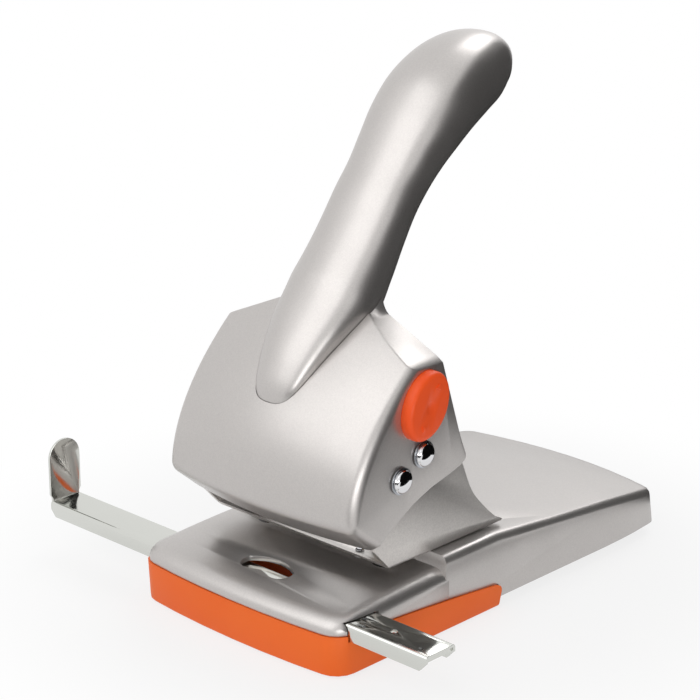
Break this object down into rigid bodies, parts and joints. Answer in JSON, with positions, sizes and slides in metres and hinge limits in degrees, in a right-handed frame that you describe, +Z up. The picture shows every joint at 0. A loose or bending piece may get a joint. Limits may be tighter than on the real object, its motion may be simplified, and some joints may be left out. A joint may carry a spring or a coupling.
{
  "type": "heavy duty hole punch",
  "caption": "Desk punch for thick paper stacks: long sprung lever under a cast hood, sliding side guide, chip tray that swings open, and a push-in lever lock.",
  "frame": {"origin": "on the table, under the middle of the guide bar and midway between the two punches, where the middle front foot stands", "axes": "+X along the guide bar towards its open end, +Y from the paper edge to the rear, +Z up from the table"},
  "size_m": [0.2667, 0.2639, 0.2758],
  "materials": {
    "silver_paint": "fine-grained silver satin paint on a die-cast shell",
    "handle_paint": "the same silver satin paint on the cast handle",
    "frame_steel": "silver satin coated sheet steel",
    "nickel": "bright nickel plate",
    "bright_chrome": "bright chrome",
    "hard_steel": "ground hardened steel",
    "zinc": "zinc-plated steel",
    "bronze": "sintered bronze",
    "orange_plastic": "satin orange plastic",
    "dark_nylon": "dark moulded nylon",
    "rubber": "dark moulded rubber"
  },
  "bodies": {
    "base": {"base_casting": "silver_paint", "die_left": "hard_steel", "die_right": "hard_steel", "punch_frame": "frame_steel", "frame_screw_front_left": "zinc", "frame_screw_front_right": "zinc", "frame_screw_rear_left": "zinc", "frame_screw_rear_right": "zinc", "frame_rivet_left": "bright_chrome", "frame_rivet_right": "bright_chrome", "guide_bush_left": "bronze", "guide_bush_right": "bronze", "return_spring_left": "hard_steel", "return_spring_right": "hard_steel", "pivot_axle": "hard_steel", "pivot_cap_left": "bright_chrome", "pivot_cap_right": "bright_chrome", "pivot_washer_left": "zinc", "pivot_washer_right": "zinc", "rear_foot_left": "rubber", "rear_foot_right": "rubber", "bar_saddle": "dark_nylon", "saddle_screw_left": "zinc", "saddle_screw_right": "zinc", "bar_leaf_spring": "hard_steel"},
    "lever": {"lever_hood": "silver_paint", "handle": "handle_paint", "handle_screw_left": "zinc", "handle_screw_middle": "zinc", "handle_screw_right": "zinc", "press_shaft": "hard_steel", "press_cap_left": "bright_chrome", "press_cap_right": "bright_chrome", "press_washer_left": "zinc", "press_washer_right": "zinc", "lock_clip": "zinc", "lock_spring": "hard_steel"},
    "lock": {"lock_button": "orange_plastic", "lock_pin": "hard_steel"},
    "punch_left": {"punch_left": "hard_steel", "punch_collar_left": "zinc"},
    "punch_right": {"punch_right": "hard_steel", "punch_collar_right": "zinc"},
    "guide": {"guide_bar": "nickel"},
    "tray": {"chip_tray": "orange_plastic", "tray_hinge_pin_left": "zinc", "tray_hinge_pin_right": "zinc", "front_foot_left": "rubber", "front_foot_right": "rubber", "front_foot_middle": "rubber"}
  },
  "joints": [
    {"name": "lever_hinge", "type": "hinge", "parent": "base", "child": "lever", "pos_m": [0, 0.0303, 0.0862], "axis": [-1, 0, 0], "range_deg": [0, 38], "stiffness_Nm_per_rad": 3, "springref_deg": -28.65},
    {"name": "punch_left_slide", "type": "slide", "parent": "base", "child": "punch_left", "axis": [0, 0, -1], "range_m": [0, 0.0115], "deforming": ["return_spring_left"]},
    {"name": "punch_right_slide", "type": "slide", "parent": "base", "child": "punch_right", "axis": [0, 0, -1], "range_m": [0, 0.0115], "deforming": ["return_spring_right"]},
    {"name": "lock_slide", "type": "slide", "parent": "lever", "child": "lock", "axis": [-1, 0, 0], "range_m": [0, 0.002], "stiffness_N_per_m": 300, "springref_m": -0.002, "deforming": ["lock_spring"]},
    {"name": "guide_slide", "type": "slide", "parent": "base", "child": "guide", "axis": [1, 0, 0], "range_m": [-0.0165, 0.0745]},
    {"name": "tray_hinge", "type": "hinge", "parent": "base", "child": "tray", "pos_m": [0, 0.1016, 0.0036], "axis": [1, 0, 0], "range_deg": [0, 60]}
  ],
  "couplings": [
    {"joint": "punch_left_slide", "follows": "lever_hinge", "m_per_rad": 0.01727},
    {"joint": "punch_right_slide", "follows": "lever_hinge", "m_per_rad": 0.01727}
  ]
}
